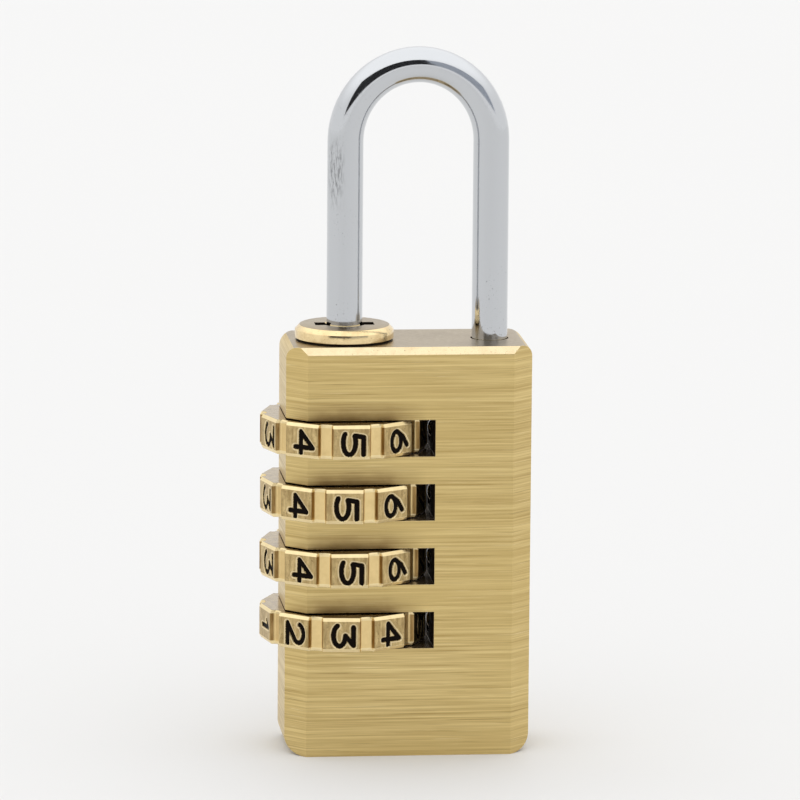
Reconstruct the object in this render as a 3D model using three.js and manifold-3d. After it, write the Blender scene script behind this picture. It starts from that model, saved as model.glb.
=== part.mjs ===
// A combination padlock with a solid case, a chromed shackle and four number dials.
// Millimetres, +Z up. The origin is the middle of the case's foot, and the front faces -Y.
// The shackle's heel leg runs down through the dials on the left. Each dial carries a hub, and
// the leg's lugs lift past the hubs' webs only where every keyway lines up with them.
import * as THREE from "three";
import { mergeVertices } from "three/addons/utils/BufferGeometryUtils.js";
import Module from "manifold-3d";

const wasm = await Module();
wasm.setup();

// Case
const bodyWidth = 22;
const bodyDepth = 10.8;
const edgeChamfer = 1.8; // the four upright edges
const topChamfer = 0.62; // the front and back edges of the top
const footRadius = 1.6; // lower corners, seen from the front
const shoulderRadius = 1.1; // upper corners, seen from the front
const heelInset = 5.5; // left side to the axis of the dials and the heel leg
const toeInset = 3.45; // right side to the axis of the toe leg

// Shackle
const rodRadius = 1.6;
const clearHeight = 23.05; // case top to the inside of the arch
const archRise = 6.85; // height of the arch's centreline over its straight legs
const shackleTravel = 4.2;
const toeRelease = 0.5; // the raised toe stands this far above the case
const toeFloorGap = 0.7; // below the closed toe
const toeSideGap = 0.1;
const toeChamfer = 0.5;
const lugReach = 0.9; // each lug stands this far out of the leg
const lugWidth = 0.85;
const lugHeight = 1;
const liftPlay = 1.5; // a locked shackle rises this far before a lug meets its hub's web

// Dials
const dialCount = 4;
const digitCount = 10;
const dialPitch = 5.8;
const dialRadius = 7.5; // over the corners of the digits' pads
const dialHeight = 3.1;
const padWidth = 3.3;
const fluteDepth = 0.45; // dial's radius to the floor of a flute
const fluteWidth = 1; // across its floor
const dialGap = 0.1; // above and below a dial, in its slot
const slotEndGap = 0.2; // dial to the end wall of its slot
const dialTurns = [0.3, -4.2, -0.4, -6]; // degrees off the click, from the top dial down

// Hubs
const hubWall = 0.45;
const hubGap = 0.1; // from one hub to the next
const hubFoot = 0.35; // below the dial's slot
const webHeight = 1.1;
const finReach = 0.4;
const finWidth = 0.7;
const finHeight = 1;
const finCount = 5;
const finInset = 0.05; // below the dial's top face
const resetStroke = 1.2; // the hubs' slide that frees them from the dials
const strokeGap = 0.2;

// Collar
const collarLip = 0.67; // flange beyond the case's bore
const collarSide = 0.8;
const collarBevel = 0.42;
const undercut = 0.32;
const undercutHeight = 0.15;
const neckWeb = 2.5; // solid part of the neck, above its chamber

// Foot of the bore
const plugRecess = 0.1;
const plugFloor = 1;
const plugWall = 0.83;
const legEndGap = 0.18;
const clipLand = 0.3; // leg below the clip's groove
const clipHeight = 0.5;
const clipRim = 0.9; // clip beyond the leg
const clipGrooveDepth = 0.4;
const clipOpening = 1.9; // radians of the clip left open
const seatHeight = 0.5;
const resetSpringHeight = 2.65;
const resetWire = 0.35;
const resetTurns = 2.5;

// Detents
const ballRadius = 1.2;
const ballGap = 0.05; // ball to the corners of the turning pads
const ballSideGap = 0.05; // ball in its hole
const detentHoleDepth = 6.3;
const detentWire = 0.25;
const detentCoilGap = 0.2; // coil in the same hole
const detentTurns = 6;

// Fits
const runningGap = 0.15;
const bearingGap = 0.1;
const seatedGap = 0.02; // between pieces that are pressed or rest together
const notchGap = 0.12; // fin tips to the floors of the dial's notches
const keyGap = 0.325; // each side of a lug, so that a dial a few degrees off still opens
const chamberGap = 0.25; // lug tips to the hub's chamber
const chamberHeadroom = 0.35; // above the raised top lug

// Smoothness
const boreSides = 40;
const hubSides = 24;
const rodSides = 20;
const smallSides = 16;
const archSteps = 24;
const wireSides = 6;
const stepsPerTurn = 12;
const cutOver = 1; // how far a cutter runs past the face that it opens

// Radii that follow from the leg outwards
const legBore = rodRadius + runningGap;
const lugRadius = rodRadius + lugReach;
const keyRadius = lugRadius + runningGap;
const chamberRadius = lugRadius + chamberGap;
const hubRadius = chamberRadius + hubWall;
const dialBore = hubRadius + bearingGap;
const finRadius = hubRadius + finReach;
const notchRadius = finRadius + notchGap;
const boreRadius = finRadius + runningGap;
const flangeRadius = boreRadius - bearingGap;
const keyWidth = lugWidth + 2 * keyGap;
const ballHoleRadius = ballRadius + ballSideGap;

// Heights that follow from the foot upwards
const plugFloorTop = plugRecess + plugFloor;
const legEndZ = plugFloorTop + legEndGap;
const clipZ = legEndZ + clipLand;
const seatZ = clipZ + clipHeight + seatedGap + shackleTravel;
const resetSpringZ = seatZ + seatHeight;
const slotHeight = dialHeight + 2 * dialGap;
const hubBottom = -slotHeight / 2 - hubFoot; // from the dial's middle, like the next eight
const hubTop = hubBottom + dialPitch - hubGap;
const webBottom = hubTop - webHeight;
const lugTop = webBottom - liftPlay;
const finTop = dialHeight / 2 - finInset;
const finBottom = finTop - finHeight;
const notchBottom = finBottom - finInset;
const flangeBottom = dialHeight / 2 + resetStroke + strokeGap;
const neckBottom = hubTop + hubGap;
const lowestDialZ = resetSpringZ + resetSpringHeight - hubBottom;
const topDialZ = lowestDialZ + (dialCount - 1) * dialPitch;
const neckBottomZ = topDialZ + neckBottom;
const neckChamberTopZ = topDialZ + lugTop + shackleTravel + chamberHeadroom;
const bodyHeight = neckChamberTopZ + neckWeb;
const toeEndZ = bodyHeight - shackleTravel + toeRelease;

// Places across the case
const heelX = -bodyWidth / 2 + heelInset;
const toeX = bodyWidth / 2 - toeInset;
const slotEndX = heelX + dialRadius + slotEndGap;
const ballX = heelX + dialRadius + ballGap + ballRadius;
const digitAngle = (2 * Math.PI) / digitCount;

const colours = {
  brass: { color: 0xc9a24e, roughness: 0.35, metalness: 1 },
  chrome: { color: 0xc4ccd4, roughness: 0.12, metalness: 1 },
  steel: { color: 0xa9acb0, roughness: 0.3, metalness: 1 },
};

// --- Solids ---

function solidOf(geometry) {
  const bare = geometry.index ? geometry.toNonIndexed() : geometry.clone();
  bare.deleteAttribute("normal");
  bare.deleteAttribute("uv");
  const merged = mergeVertices(bare, 1e-4);
  return new wasm.Manifold(
    new wasm.Mesh({
      numProp: 3,
      vertProperties: new Float32Array(merged.attributes.position.array),
      triVerts: new Uint32Array(merged.index.array),
    }),
  );
}

function joined(solids) {
  return solids.reduce((whole, piece) => whole.add(piece));
}

function cut(solid, cutters) {
  return cutters.reduce((rest, cutter) => rest.subtract(cutter), solid);
}

function meshOf(name, solid, colour) {
  const result = solid.getMesh();
  const geometry = new THREE.BufferGeometry();
  geometry.setAttribute("position", new THREE.BufferAttribute(result.vertProperties, 3));
  geometry.setIndex(new THREE.BufferAttribute(result.triVerts, 1));
  geometry.computeVertexNormals();
  const mesh = new THREE.Mesh(geometry, new THREE.MeshStandardMaterial(colour));
  mesh.name = name;
  return mesh;
}

// A box given by its low and high corners.
function box(low, high) {
  const size = high.map((value, i) => value - low[i]);
  const middle = high.map((value, i) => (value + low[i]) / 2);
  return solidOf(new THREE.BoxGeometry(...size).translate(...middle));
}

// An upright cylinder on the Z axis.
function post(radius, bottom, top, sides) {
  const height = top - bottom;
  const geometry = new THREE.CylinderGeometry(radius, radius, height, sides);
  geometry.rotateX(Math.PI / 2);
  return solidOf(geometry.translate(0, 0, (bottom + top) / 2));
}

// A closed outline of [radius, height] points, turned about the Z axis.
function turned(outline, sides) {
  const points = [...outline, outline[0]].map(([r, z]) => new THREE.Vector2(r, z));
  return solidOf(new THREE.LatheGeometry(points, sides).rotateX(Math.PI / 2));
}

function extruded(shape, bottom, top, curveSegments) {
  const options = { depth: top - bottom, bevelEnabled: false, curveSegments };
  return solidOf(new THREE.ExtrudeGeometry(shape, options).translate(0, 0, bottom));
}

function shapeOf(points) {
  return new THREE.Shape(points.map(([x, y]) => new THREE.Vector2(x, y)));
}

function polar(radius, angle) {
  return [radius * Math.cos(angle), radius * Math.sin(angle)];
}

// --- Case ---

// The case seen from the front, with rounded lower and upper corners.
function frontOutline() {
  const x = bodyWidth / 2;
  const shape = new THREE.Shape();
  shape.absarc(x - footRadius, footRadius, footRadius, -Math.PI / 2, 0);
  shape.absarc(x - shoulderRadius, bodyHeight - shoulderRadius, shoulderRadius, 0, Math.PI / 2);
  shape.absarc(shoulderRadius - x, bodyHeight - shoulderRadius, shoulderRadius, Math.PI / 2, Math.PI);
  shape.absarc(footRadius - x, footRadius, footRadius, Math.PI, 1.5 * Math.PI);
  return shape;
}

// A rectangle about the origin whose corners are cut at 45 degrees.
function chamferedRectangle(width, depth, chamfer) {
  const x = width / 2;
  const y = depth / 2;
  return shapeOf([
    [chamfer - x, -y],
    [x - chamfer, -y],
    [x, chamfer - y],
    [x, y - chamfer],
    [x - chamfer, y],
    [chamfer - x, y],
    [-x, y - chamfer],
    [-x, chamfer - y],
  ]);
}

// The case seen from its side, with the front and back edges of the top cut at 45 degrees.
function sideOutline() {
  const y = bodyDepth / 2;
  return shapeOf([
    [0, -y],
    [0, y],
    [-(bodyHeight - topChamfer), y],
    [-bodyHeight, y - topChamfer],
    [-bodyHeight, topChamfer - y],
    [-(bodyHeight - topChamfer), -y],
  ]);
}

function caseBlock() {
  const options = { bevelEnabled: false, curveSegments: 6 };
  const front = new THREE.ExtrudeGeometry(frontOutline(), { ...options, depth: bodyDepth });
  front.rotateX(Math.PI / 2).translate(0, bodyDepth / 2, 0);
  const side = new THREE.ExtrudeGeometry(sideOutline(), { ...options, depth: bodyWidth });
  side.rotateY(Math.PI / 2).translate(-bodyWidth / 2, 0, 0);
  const plan = extruded(chamferedRectangle(bodyWidth, bodyDepth, edgeChamfer), 0, bodyHeight, 1);
  return solidOf(front).intersect(solidOf(side)).intersect(plan);
}

// A dial's slot, open at the front, the left and the back, with the ball's hole in its end wall.
function dialSlot(z) {
  const slot = box(
    [-bodyWidth / 2 - cutOver, -bodyDepth / 2 - cutOver, z - slotHeight / 2],
    [slotEndX, bodyDepth / 2 + cutOver, z + slotHeight / 2],
  );
  const depth = detentHoleDepth + cutOver;
  const hole = new THREE.CylinderGeometry(ballHoleRadius, ballHoleRadius, depth, smallSides);
  hole.rotateZ(Math.PI / 2).translate(slotEndX - cutOver + depth / 2, 0, z);
  return slot.add(solidOf(hole));
}

function makeBody() {
  const bore = post(boreRadius, -cutOver, bodyHeight + cutOver, boreSides).translate([heelX, 0, 0]);
  const toeHole = post(rodRadius + toeSideGap, toeEndZ - toeFloorGap, bodyHeight + cutOver, hubSides);
  const slots = dialHeights().map(dialSlot);
  const block = cut(caseBlock(), [bore, toeHole.translate([toeX, 0, 0]), ...slots]);
  return meshOf("lock_body", block, colours.brass);
}

function dialHeights() {
  return Array.from({ length: dialCount }, (_, i) => topDialZ - i * dialPitch);
}

// The fixed bush that guides the heel leg. Two keyways let the lugs down through it.
function makeCollar() {
  const flange = boreRadius + collarLip;
  const sideBottom = bodyHeight + undercutHeight;
  const top = sideBottom + collarSide + collarBevel;
  const ring = turned(
    [
      [chamberRadius, neckBottomZ],
      [boreRadius - seatedGap, neckBottomZ],
      [boreRadius - seatedGap, bodyHeight],
      [flange - undercut, bodyHeight],
      [flange - undercut, sideBottom],
      [flange, sideBottom],
      [flange, top - collarBevel],
      [flange - collarBevel, top],
      [legBore, top],
      [legBore, neckChamberTopZ],
      [chamberRadius, neckChamberTopZ],
    ],
    boreSides,
  );
  const keyway = box(
    [-keyRadius, -keyWidth / 2, neckBottomZ],
    [keyRadius, keyWidth / 2, top + cutOver],
  );
  return meshOf("collar", ring.subtract(keyway), colours.brass);
}

// --- Shackle ---

// Up the heel leg in one step, round the arch, and down the toe leg in one step.
class HoopCurve extends THREE.Curve {
  getPoint(t) {
    const step = t * (archSteps + 2) - 1;
    const angle = Math.PI * (1 - THREE.MathUtils.clamp(step / archSteps, 0, 1));
    const archZ = bodyHeight + clearHeight + rodRadius - archRise;
    const x = (heelX + toeX) / 2 + ((toeX - heelX) / 2) * Math.cos(angle);
    const z = archZ + archRise * Math.sin(angle);
    const drop = step < 0 ? -step * (archZ - legEndZ) : Math.max(step - archSteps, 0) * (archZ - toeEndZ);
    return new THREE.Vector3(x, 0, z - drop);
  }

  getPointAt(t) {
    return this.getPoint(t);
  }

  getTangentAt(t) {
    return this.getTangent(t);
  }
}

function makeShackle() {
  const section = new THREE.Shape().absarc(0, 0, rodRadius, 0, 2 * Math.PI);
  const options = { steps: archSteps + 2, extrudePath: new HoopCurve(), curveSegments: rodSides / 2 };
  const rod = solidOf(new THREE.ExtrudeGeometry(section, options));
  const lugs = dialHeights().map((z) =>
    box(
      [heelX, -lugWidth / 2, z + lugTop - lugHeight],
      [heelX + lugRadius, lugWidth / 2, z + lugTop],
    ),
  );
  const groove = turned(
    [
      [rodRadius - clipGrooveDepth, clipZ - bearingGap / 2],
      [rodRadius + cutOver, clipZ - bearingGap / 2],
      [rodRadius + cutOver, clipZ + clipHeight + bearingGap / 2],
      [rodRadius - clipGrooveDepth, clipZ + clipHeight + bearingGap / 2],
    ],
    rodSides,
  );
  const noseCut = turned(
    [
      [rodRadius - toeChamfer, toeEndZ],
      [rodRadius - toeChamfer, toeEndZ - cutOver],
      [rodRadius + cutOver, toeEndZ - cutOver],
      [rodRadius + cutOver, toeEndZ + toeChamfer + cutOver],
    ],
    rodSides,
  );
  const cutters = [groove.translate([heelX, 0, 0]), noseCut.translate([toeX, 0, 0])];
  return meshOf("shackle", cut(joined([rod, ...lugs]), cutters), colours.chrome);
}

// The open spring clip in the groove at the foot of the heel leg.
function makeClip() {
  const inner = rodRadius - clipGrooveDepth + bearingGap / 2;
  const outer = rodRadius + clipRim;
  const shape = new THREE.Shape();
  shape.absarc(0, 0, outer, clipOpening / 2, 2 * Math.PI - clipOpening / 2, false);
  shape.absarc(0, 0, inner, 2 * Math.PI - clipOpening / 2, clipOpening / 2, true);
  return meshOf("retaining_clip", extruded(shape, 0, clipHeight, smallSides / 2), colours.steel);
}

// --- Dials and hubs ---

// Ten raised pads for the digits with a sunken flute between each two. A pad faces -Y.
function dialOutline() {
  const points = [];
  const padHalf = Math.asin(padWidth / 2 / dialRadius);
  const fluteFloor = dialRadius - fluteDepth;
  const fluteHalf = Math.atan(fluteWidth / 2 / fluteFloor);
  const floorCorner = Math.hypot(fluteFloor, fluteWidth / 2);
  for (let i = 0; i < digitCount; i++) {
    const pad = i * digitAngle - Math.PI / 2;
    const flute = pad + digitAngle / 2;
    points.push(polar(dialRadius, pad - padHalf));
    points.push(polar(dialRadius, pad + padHalf));
    points.push(polar(floorCorner, flute - fluteHalf));
    points.push(polar(floorCorner, flute + fluteHalf));
  }
  return shapeOf(points);
}

// The dial's bore, with a notch for a fin at each digit.
function notchedHole() {
  const notchHalf = Math.asin((finWidth / 2 + bearingGap) / dialBore);
  const points = [];
  for (let i = 0; i < digitCount; i++) {
    const notch = i * digitAngle;
    points.push(polar(dialBore, notch - notchHalf));
    points.push(polar(notchRadius, notch - notchHalf));
    points.push(polar(notchRadius, notch + notchHalf));
    points.push(polar(dialBore, notch + notchHalf));
  }
  return shapeOf(points);
}

// Below its notches the bore is wider, so that the lowered fins turn free of the dial.
function makeDial(number) {
  const notched = dialOutline();
  notched.holes.push(notchedHole());
  const relieved = dialOutline();
  relieved.holes.push(new THREE.Path().absarc(0, 0, notchRadius, 0, 2 * Math.PI));
  const upper = extruded(notched, notchBottom, dialHeight / 2, smallSides);
  const lower = extruded(relieved, -dialHeight / 2, notchBottom, smallSides);
  return meshOf("dial_" + number, upper.add(lower), colours.brass);
}

// A sleeve round the leg with a web across its top, and one keyway in the web, towards +X.
function makeHub(number) {
  const sleeve = turned(
    [
      [chamberRadius, hubBottom],
      [hubRadius, hubBottom],
      [hubRadius, flangeBottom],
      [flangeRadius, flangeBottom],
      [flangeRadius, hubTop],
      [legBore, hubTop],
      [legBore, webBottom],
      [chamberRadius, webBottom],
    ],
    hubSides,
  );
  const fin = box(
    [hubRadius - hubWall / 2, -finWidth / 2, finBottom],
    [finRadius, finWidth / 2, finTop],
  );
  const fins = Array.from({ length: finCount }, (_, i) => fin.rotate([0, 0, (i * 360) / finCount]));
  const keyway = box(
    [0, -keyWidth / 2, webBottom - cutOver],
    [keyRadius, keyWidth / 2, hubTop + cutOver],
  );
  return meshOf("hub_" + number, joined([sleeve, ...fins]).subtract(keyway), colours.brass);
}

// --- Springs, balls and the foot of the bore ---

class HelixCurve extends THREE.Curve {
  constructor(radius, height, turns) {
    super();
    this.radius = radius;
    this.height = height;
    this.turns = turns;
  }

  getPoint(t) {
    const angle = 2 * Math.PI * this.turns * t;
    return new THREE.Vector3(...polar(this.radius, angle), this.height * t);
  }
}

// A coil spring of the given overall height that stands on the origin.
function makeSpring(name, coilRadius, wire, height, turns) {
  const section = new THREE.Shape().absarc(0, 0, wire / 2, 0, 2 * Math.PI);
  const path = new HelixCurve(coilRadius, height - wire - 2 * bearingGap, turns);
  const options = { steps: turns * stepsPerTurn, extrudePath: path, curveSegments: wireSides / 2 };
  const wound = new THREE.ExtrudeGeometry(section, options);
  return meshOf(name, solidOf(wound.translate(0, 0, wire / 2 + bearingGap)), colours.steel);
}

function makeBall(number) {
  const ball = solidOf(new THREE.SphereGeometry(ballRadius, smallSides, smallSides / 2));
  return meshOf("detent_ball_" + number, ball, colours.steel);
}

// The washer that the reset spring stands on. It also stops the clip of the raised shackle.
function makeSeat() {
  const outer = boreRadius - bearingGap;
  const outline = [
    [legBore, 0],
    [outer, 0],
    [outer, seatHeight],
    [legBore, seatHeight],
  ];
  return meshOf("spring_seat_washer", turned(outline, hubSides), colours.steel);
}

// The cup that closes the bore from below and carries the washer on its rim.
function makePlug() {
  const outer = boreRadius - seatedGap;
  const cup = post(outer, plugRecess, seatZ - seatedGap, boreSides);
  const hollow = post(outer - plugWall, plugFloorTop, seatZ + cutOver, hubSides);
  return meshOf("bottom_plug", cup.subtract(hollow), colours.brass);
}

// --- Assembly ---

function placed(object, x, z) {
  object.position.set(x, 0, z);
  return object;
}

function dialGroup(z, i) {
  const group = placed(new THREE.Group(), heelX, z);
  group.rotation.z = THREE.MathUtils.degToRad(dialTurns[i]);
  group.add(makeDial(i + 1), makeHub(i + 1));
  return group;
}

// The ball and the coil spring that pushes it out of the slot's end wall.
function detentGroup(z, i) {
  const coilRadius = ballHoleRadius - detentCoilGap - detentWire / 2;
  const holeEnd = slotEndX + detentHoleDepth - ballX;
  const seat = Math.sqrt((ballRadius + detentWire / 2) ** 2 - coilRadius ** 2) - detentWire / 2;
  const spring = makeSpring("detent_spring_" + (i + 1), coilRadius, detentWire, holeEnd - seat, detentTurns);
  spring.rotation.y = Math.PI / 2;
  spring.position.x = seat;
  return placed(new THREE.Group(), ballX, z).add(makeBall(i + 1), spring);
}

const hubRingMiddle = (chamberRadius + hubRadius) / 2;
const padlock = new THREE.Group();
padlock.add(makeBody(), makeShackle());
padlock.add(placed(makeCollar(), heelX, 0));
padlock.add(placed(makePlug(), heelX, 0));
padlock.add(placed(makeClip(), heelX, clipZ));
padlock.add(placed(makeSeat(), heelX, seatZ));
padlock.add(
  placed(
    makeSpring("reset_spring", hubRingMiddle, resetWire, resetSpringHeight, resetTurns),
    heelX,
    resetSpringZ,
  ),
);
dialHeights().forEach((z, i) => padlock.add(dialGroup(z, i), detentGroup(z, i)));

export default padlock;
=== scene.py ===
"""Looks of the brass combination padlock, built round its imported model. Metres, +Z up, front at -Y."""
import math

import bmesh
import bpy
import numpy as np
from mathutils import Matrix, Vector


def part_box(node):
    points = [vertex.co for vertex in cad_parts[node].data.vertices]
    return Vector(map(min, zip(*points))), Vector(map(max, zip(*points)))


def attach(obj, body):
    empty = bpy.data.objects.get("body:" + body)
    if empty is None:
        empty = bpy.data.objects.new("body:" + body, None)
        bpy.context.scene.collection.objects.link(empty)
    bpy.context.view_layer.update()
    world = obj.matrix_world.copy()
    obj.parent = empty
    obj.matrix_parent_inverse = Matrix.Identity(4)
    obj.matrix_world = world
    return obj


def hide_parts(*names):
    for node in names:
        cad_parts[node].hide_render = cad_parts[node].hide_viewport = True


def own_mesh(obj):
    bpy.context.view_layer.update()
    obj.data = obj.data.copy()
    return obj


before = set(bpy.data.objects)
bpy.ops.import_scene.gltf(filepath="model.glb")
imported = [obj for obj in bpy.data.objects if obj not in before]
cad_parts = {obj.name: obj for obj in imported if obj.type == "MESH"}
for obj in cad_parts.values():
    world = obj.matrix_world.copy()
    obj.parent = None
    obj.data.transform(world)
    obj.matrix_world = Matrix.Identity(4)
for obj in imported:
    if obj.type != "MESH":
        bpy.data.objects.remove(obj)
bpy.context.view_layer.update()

MM = 0.001

# The case, in millimetres
EDGE_CHAMFER = 1.8
TOP_CHAMFER = 0.62
FOOT_RADIUS = 1.6
SHOULDER_RADIUS = 1.1
CASE_EDGE = 0.07  # softened sharp edges
CASE_SKIN = 0.6  # faces deeper than this belong to a slot or bore
SLOT_GAP = 0.1  # above and below a dial
SLOT_END_GAP = 0.2
BALL_HOLE_GAP = 0.05
DETENT_DEPTH = 6.3
TOE_SIDE_GAP = 0.1
TOE_FLOOR_GAP = 0.7
BORE_RADIUS = 3.75
PAST = 1  # how far a cutter runs past the face it opens

# The collar and the plug, which sit in the case's bore
SEAT_GAP = 0.02
CHAMBER_RADIUS = 2.75
KEY_RADIUS = 2.65
KEY_WIDTH = 1.5
LEG_BORE = 1.75
COLLAR_UNDERCUT = 0.32
UNDERCUT_HEIGHT = 0.15
COLLAR_BEVEL = 0.42
COLLAR_WEB = 2.5  # solid part of the neck, down from the case's top
PLUG_WALL = 0.83
PLUG_FLOOR = 1

# The springs
RESET_WIRE = 0.35
RESET_TURNS = 2.5
DETENT_WIRE = 0.25
DETENT_TURNS = 6

# The shackle
ROD_RADIUS = 1.6
ARCH_RISE = 6.85
TOE_CHAMFER = 0.5
LUG_REACH = 0.9
LUG_WIDTH = 0.85
LUG_HEIGHT = 1.0
LUG_LIFT = 0.1  # a lug's foot over the middle of its dial
CLIP_GROOVE = 0.4
CLIP_GAP = 0.05  # above and below the clip in its groove

# The dials
DIGIT_COUNT = 10
DIAL_RADIUS = 7.5  # over the corners of the digits' pads
PAD_WIDTH = 3.3
PAD_DISTANCE = math.sqrt(DIAL_RADIUS**2 - (PAD_WIDTH / 2) ** 2)
PAD_BEVEL = (0.29, 0.17)  # up the dial and inwards, at both ends of a pad
FLUTE_DEPTH = 0.45
FLUTE_WIDTH = 1.0  # across its floor
FLUTE_SAG = 0.05  # its floor is slightly hollow
FLUTE_BEVEL = (0.15, 0.08)
DIAL_BORE = 3.3
NOTCH_RADIUS = 3.72
NOTCH_WIDTH = 0.9
NOTCH_BOTTOM = 0.45
DIAL_TURNS = (0.3, -4.2, -0.4, -6.0)  # degrees off the click
FRONT_DIGITS = (5, 5, 5, 3)
DIGIT_HEIGHT = 1.78  # along the dial's turn
DIGIT_WIDTH = 1.9  # along its axis
DIGIT_DROP = 0.14  # below the middle of its pad
DIGIT_SHIFT = 0.18  # along the turn, towards the digit's top
STROKE = 0.42
ENGRAVED = 0.14
PAINT_WIDTH = 0.12  # across the sloping side of an engraved stroke
PAD_EDGE = 0.07  # rounding of a pad's upright edges
NO_INK = -0.5

# The camera: it looks at this point from this side
LOOK_AT = Vector((-0.446, 0, 31.386)) * MM
CAMERA_AZIMUTH = -5.9
CAMERA_ELEVATION = 9.93
CAMERA_ROLL = 0.45
CAMERA_DISTANCE = 0.6305
CAMERA_LENS = 316.9

TENT = 1.0  # brightness of the room up to a low height
CEILING = 1.4  # and overhead


def mm_box(node):
    """A node's lowest and highest corner in millimetres."""
    low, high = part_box(node)
    return low / MM, high / MM


CASE_HIGH = mm_box("lock_body")[1]
SHACKLE_LOW, SHACKLE_HIGH = mm_box("shackle")
COLLAR_LOW, COLLAR_HIGH = mm_box("collar")
PLUG_LOW, PLUG_HIGH = mm_box("bottom_plug")
CLIP_LOW, CLIP_HIGH = mm_box("retaining_clip")
HEEL_X = (COLLAR_LOW.x + COLLAR_HIGH.x) / 2
TOE_X = SHACKLE_HIGH.x - ROD_RADIUS
DIAL_NODES = ["dial_1", "dial_2", "dial_3", "dial_4"]
DIAL_Z = [sum(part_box(node)[i].z for i in (0, 1)) / 2 / MM for node in DIAL_NODES]
DIAL_HALF = (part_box("dial_1")[1].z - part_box("dial_1")[0].z) / 2 / MM
SLOT_END_X = HEEL_X + DIAL_RADIUS + SLOT_END_GAP


# --- Material nodes ---


class Nodes:
    """Adds nodes to one material's tree, wired by keyword."""

    def __init__(self, name):
        self.material = bpy.data.materials.new(name)
        self.material.use_nodes = True
        self.tree = self.material.node_tree
        self.shader = self.tree.nodes["Principled BSDF"]

    def feed(self, socket, value):
        if isinstance(value, bpy.types.NodeSocket):
            self.tree.links.new(value, socket)
        else:
            socket.default_value = value

    def add(self, kind, settings=None, **inputs):
        node = self.tree.nodes.new(kind)
        for key, value in (settings or {}).items():
            setattr(node, key, value)
        for key, value in inputs.items():
            self.feed(node.inputs[key.replace("_", " ")], value)
        return node

    def place(self, scale):
        """Object coordinates in millimetres, stretched by scale."""
        coordinates = self.add("ShaderNodeTexCoord").outputs["Object"]
        size = tuple(value / MM for value in scale)
        return self.add("ShaderNodeMapping", Vector=coordinates, Scale=size).outputs["Vector"]

    def noise(self, scale, detail=3.0, roughness=0.5):
        vector = self.place(scale)
        made = self.add("ShaderNodeTexNoise", Vector=vector, Scale=1.0, Detail=detail)
        made.inputs["Roughness"].default_value = roughness
        return made.outputs["Fac"]

    def attribute(self, name):
        return self.add("ShaderNodeAttribute", {"attribute_name": name}).outputs["Fac"]

    def math(self, operation, first, second=0.0):
        node = self.add("ShaderNodeMath", {"operation": operation})
        self.feed(node.inputs[0], first)
        self.feed(node.inputs[1], second)
        return node.outputs[0]

    def remap(self, value, low, high, to_low, to_high):
        node = self.add("ShaderNodeMapRange", Value=value)
        limits = {"From Min": low, "From Max": high, "To Min": to_low, "To Max": to_high}
        for key, number in limits.items():
            node.inputs[key].default_value = number
        return node.outputs["Result"]

    def blend(self, factor, first, second):
        node = self.add("ShaderNodeMix", {"data_type": "RGBA"})
        self.feed(node.inputs["Factor"], factor)
        self.feed(node.inputs[6], first)
        self.feed(node.inputs[7], second)
        return node.outputs[2]

    def bump(self, height, strength, distance):
        node = self.add("ShaderNodeBump", Height=height, Strength=strength, Distance=distance * MM)
        return node.outputs["Normal"]

    def finish(self, colour, roughness, normal=None, metallic=1.0):
        self.feed(self.shader.inputs["Base Color"], colour)
        self.feed(self.shader.inputs["Roughness"], roughness)
        self.feed(self.shader.inputs["Metallic"], metallic)
        if normal is not None:
            self.feed(self.shader.inputs["Normal"], normal)
        return self.material


def rgb(red, green, blue):
    return (red, green, blue, 1.0)


def band(n, value, low, low_end, high_end, high):
    """1 between low_end and high_end, falling to 0 at low and high."""
    rise = n.remap(value, low, low_end, 0.0, 1.0)
    fall = n.remap(value, high_end, high, 1.0, 0.0)
    return n.math("MULTIPLY", rise, fall)


def shade_over_slots(n):
    """1 just over each slot, fading upwards and to the sides: painted shade, standing for the dials'
    shadow and dark reflection on the case.
    """
    position = n.add("ShaderNodeSeparateXYZ", Vector=n.place((1, 1, 1)))
    pitch = DIAL_Z[0] - DIAL_Z[1]
    slot_top = DIAL_Z[-1] + DIAL_HALF + SLOT_GAP
    reach = 1.9
    steps = n.math("DIVIDE", n.math("SUBTRACT", position.outputs["Z"], slot_top), pitch)
    above = n.remap(n.math("FRACT", steps), 0.0, reach / pitch, 1.0, 0.0)
    rows = band(n, steps, -0.02, 0.0, len(DIAL_Z) - 0.6, len(DIAL_Z) - 0.5)
    columns = band(n, position.outputs["X"], HEEL_X - 5.5, HEEL_X - 2.5, HEEL_X + 3.5, HEEL_X + 7.0)
    patchy = n.remap(n.noise((0.5, 0.5, 0.9), 3.0), 0.3, 0.7, 0.7, 1.0)
    faded = n.math("MULTIPLY", above, patchy)
    return n.math("MULTIPLY", faded, n.math("MULTIPLY", rows, columns))


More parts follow.
